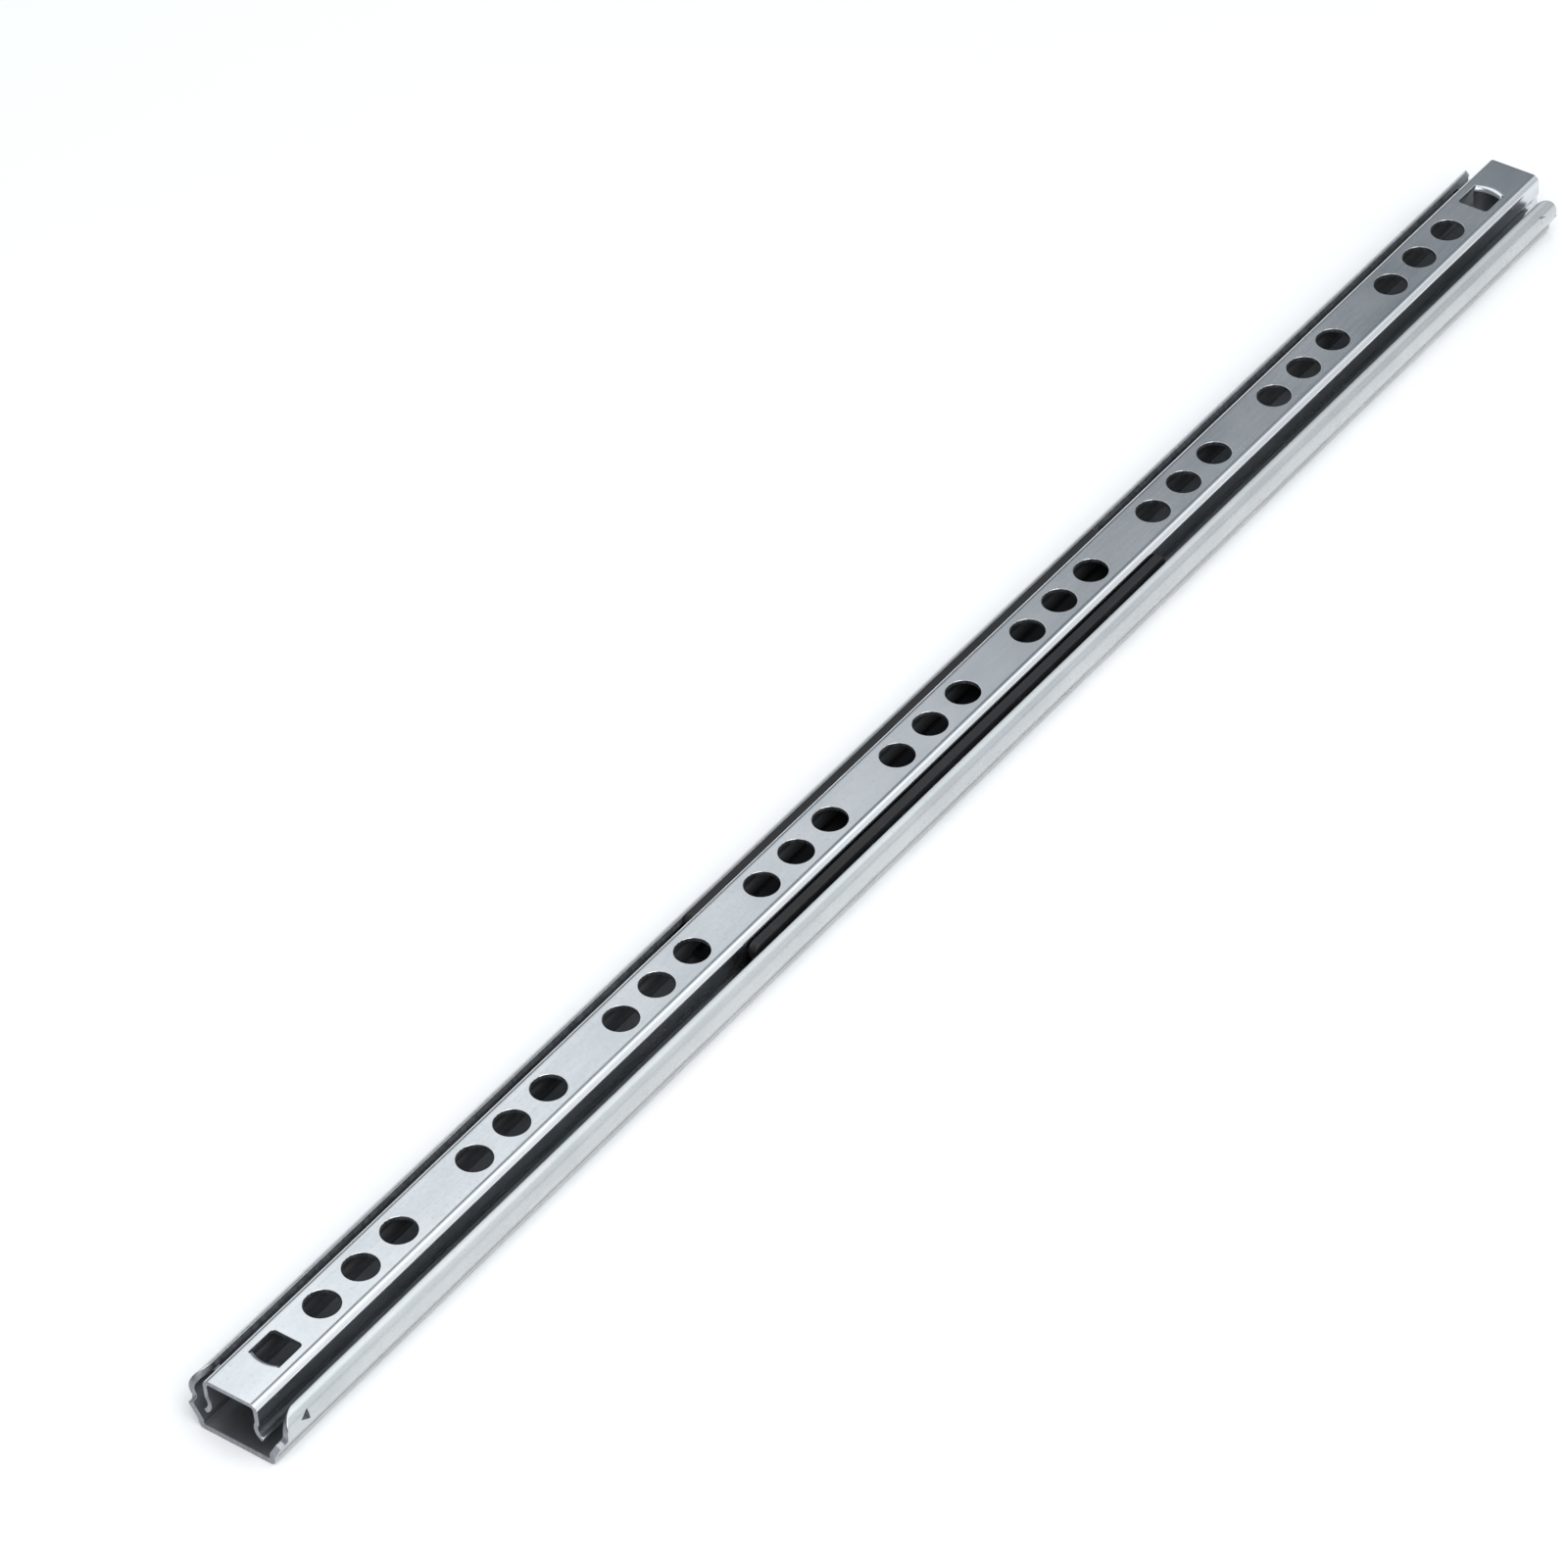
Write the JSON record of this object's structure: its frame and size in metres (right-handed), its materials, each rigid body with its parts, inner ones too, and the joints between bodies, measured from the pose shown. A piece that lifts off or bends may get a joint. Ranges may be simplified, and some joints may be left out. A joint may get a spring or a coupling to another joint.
{
  "type": "ball bearing drawer slide",
  "caption": "Slim ball bearing drawer slide: a drawer member rolls out of a wide cabinet channel on steel balls held in a black retainer.",
  "frame": {"origin": "centre of the cabinet member's mounting face, which is the underside of its web", "axes": "+X along the slide, the way the drawer member opens; +Z out of the cabinet side towards the drawer; +Y across the slide"},
  "size_m": [0.31, 0.017, 0.01],
  "materials": {
    "cabinet_steel": "bright zinc plate on cold-rolled sheet, satin, faintly mottled",
    "drawer_steel": "bright zinc plate on cold-rolled sheet, satin, faintly mottled",
    "retainer_plastic": "moulded black plastic, matt",
    "ball_steel": "polished bearing steel, lightly greased"
  },
  "bodies": {
    "cabinet_member": {"outer_member": "cabinet_steel"},
    "retainer": {"ball_retainer": "retainer_plastic", "ball_left_01": "ball_steel", "ball_left_02": "ball_steel", "ball_left_03": "ball_steel", "ball_left_04": "ball_steel", "ball_left_05": "ball_steel", "ball_left_06": "ball_steel", "ball_left_07": "ball_steel", "ball_left_08": "ball_steel", "ball_left_09": "ball_steel", "ball_left_10": "ball_steel", "ball_left_11": "ball_steel", "ball_left_12": "ball_steel", "ball_left_13": "ball_steel", "ball_right_01": "ball_steel", "ball_right_02": "ball_steel", "ball_right_03": "ball_steel", "ball_right_04": "ball_steel", "ball_right_05": "ball_steel", "ball_right_06": "ball_steel", "ball_right_07": "ball_steel", "ball_right_08": "ball_steel", "ball_right_09": "ball_steel", "ball_right_10": "ball_steel", "ball_right_11": "ball_steel", "ball_right_12": "ball_steel", "ball_right_13": "ball_steel"},
    "drawer_member": {"inner_member": "drawer_steel"}
  },
  "joints": [
    {"name": "drawer_slide", "type": "slide", "parent": "cabinet_member", "child": "drawer_member", "axis": [1, 0, 0], "range_m": [0, 0.193]},
    {"name": "retainer_slide", "type": "slide", "parent": "cabinet_member", "child": "retainer", "axis": [1, 0, 0], "range_m": [0, 0.0965]}
  ],
  "couplings": [
    {"joint": "retainer_slide", "follows": "drawer_slide", "ratio": 0.5}
  ]
}
